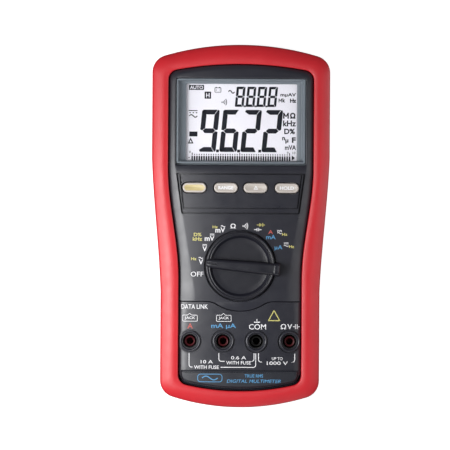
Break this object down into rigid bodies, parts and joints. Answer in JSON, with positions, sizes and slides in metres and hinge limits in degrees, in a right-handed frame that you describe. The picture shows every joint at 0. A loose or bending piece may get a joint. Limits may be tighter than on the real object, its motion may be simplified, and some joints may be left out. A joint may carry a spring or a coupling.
{
  "type": "digital multimeter",
  "caption": "Handheld digital multimeter in a soft holster, with a rotary function selector, press keys, plug sockets, a large display and a fold-out stand.",
  "frame": {"origin": "on the resting plane, under the middle of the outline", "axes": "+X to the right of the face, +Y towards the display end, +Z out of the face"},
  "size_m": [0.102, 0.208, 0.0645],
  "materials": {
    "holster_rubber": "satin moulded rubber, fine texture",
    "stand_plastic": "textured moulded plastic",
    "case_plastic": "fine matte moulded plastic",
    "back_plastic": "matte moulded plastic",
    "knob_plastic": "satin moulded plastic",
    "bezel_plastic": "smooth blue-grey plastic",
    "clear_window": "clear polished polycarbonate",
    "display_cell": "liquid crystal cell with a pale reflector",
    "display_ink": "dark liquid crystal segments",
    "black_rubber": "matte rubber",
    "black_plastic": "matte moulded plastic",
    "white_plastic": "smooth moulded plastic",
    "keypad_silicone": "matte silicone",
    "key_beige": "smooth moulded plastic",
    "key_yellow": "smooth moulded plastic",
    "socket_red": "satin moulded plastic",
    "socket_black": "satin moulded plastic",
    "contact_brass": "turned brass",
    "plate_film": "printed plastic film",
    "print_white": "printed ink",
    "print_yellow": "printed ink",
    "print_red": "printed ink",
    "print_blue": "printed ink",
    "circuit_board": "lacquered glass-fibre board",
    "chip_epoxy": "moulded epoxy",
    "capacitor_sleeve": "shrunk plastic sleeve",
    "disc_coating": "dipped coating",
    "shunt_alloy": "drawn alloy wire",
    "fuse_ceramic": "glazed ceramic with metal caps",
    "battery_wrap": "printed battery jacket, plain",
    "infrared_plastic": "infrared-clear dark plastic",
    "steel": "plated steel"
  },
  "bodies": {
    "housing": {"holster": "holster_rubber", "probe_clips": "holster_rubber", "stand_pin_rod": "steel", "front_case": "case_plastic", "rear_case": "back_plastic", "case_gasket": "black_rubber", "case_screws": "steel", "board_screws": "steel", "display_bezel": "bezel_plastic", "display_window": "clear_window", "lcd_glass": "display_cell", "lcd_frame": "black_plastic", "backlight_panel": "white_plastic", "lcd_contact_strips": "black_rubber", "keypad_mat": "keypad_silicone", "terminal_block": "black_plastic", "sleeve_amps": "socket_red", "sleeve_milliamps": "socket_red", "sleeve_common": "socket_black", "sleeve_volts": "socket_red", "contact_amps": "contact_brass", "contact_milliamps": "contact_brass", "contact_common": "contact_brass", "contact_volts": "contact_brass", "name_plate": "plate_film", "main_board": "circuit_board", "control_chips": "chip_epoxy", "capacitors": "capacitor_sleeve", "surge_discs": "disc_coating", "current_shunt": "shunt_alloy", "buzzer": "black_plastic", "shield_plate": "steel", "fuse_large": "fuse_ceramic", "fuse_small": "fuse_ceramic", "fuse_clips": "contact_brass", "battery": "battery_wrap", "battery_contacts": "black_plastic", "battery_pins": "contact_brass", "battery_cover": "back_plastic", "battery_cover_screws": "steel", "infrared_window": "infrared_plastic", "knob_seal": "black_rubber", "switch_housing": "white_plastic"},
    "selector": {"knob": "knob_plastic", "knob_screw": "steel", "switch_rotor": "white_plastic", "wiper_contacts": "contact_brass", "detent_balls": "steel", "detent_springs": "steel"},
    "stand": {"tilt_stand": "stand_plastic"},
    "button_select": {"key_select": "key_yellow", "dome_select": "keypad_silicone"},
    "button_range": {"key_range": "key_beige", "dome_range": "keypad_silicone"},
    "button_delta": {"key_delta": "key_beige", "dome_delta": "keypad_silicone"},
    "button_hold": {"key_hold": "key_beige", "dome_hold": "keypad_silicone"}
  },
  "joints": [
    {"name": "selector_turn", "type": "hinge", "parent": "housing", "child": "selector", "pos_m": [0, -0.0229, 0.055], "axis": [0, 0, 1], "range_deg": [-147.2, 18.4]},
    {"name": "stand_open", "type": "hinge", "parent": "housing", "child": "stand", "pos_m": [0, 0.056, 0.0052], "axis": [1, 0, 0], "range_deg": [0, 55]},
    {"name": "select_press", "type": "slide", "parent": "housing", "child": "button_select", "axis": [0, 0, -1], "range_m": [0, 0.0012], "stiffness_N_per_m": 1400, "deforming": ["dome_select"]},
    {"name": "range_press", "type": "slide", "parent": "housing", "child": "button_range", "axis": [0, 0, -1], "range_m": [0, 0.0012], "stiffness_N_per_m": 1400, "deforming": ["dome_range"]},
    {"name": "delta_press", "type": "slide", "parent": "housing", "child": "button_delta", "axis": [0, 0, -1], "range_m": [0, 0.0012], "stiffness_N_per_m": 1400, "deforming": ["dome_delta"]},
    {"name": "hold_press", "type": "slide", "parent": "housing", "child": "button_hold", "axis": [0, 0, -1], "range_m": [0, 0.0012], "stiffness_N_per_m": 1400, "deforming": ["dome_hold"]}
  ]
}
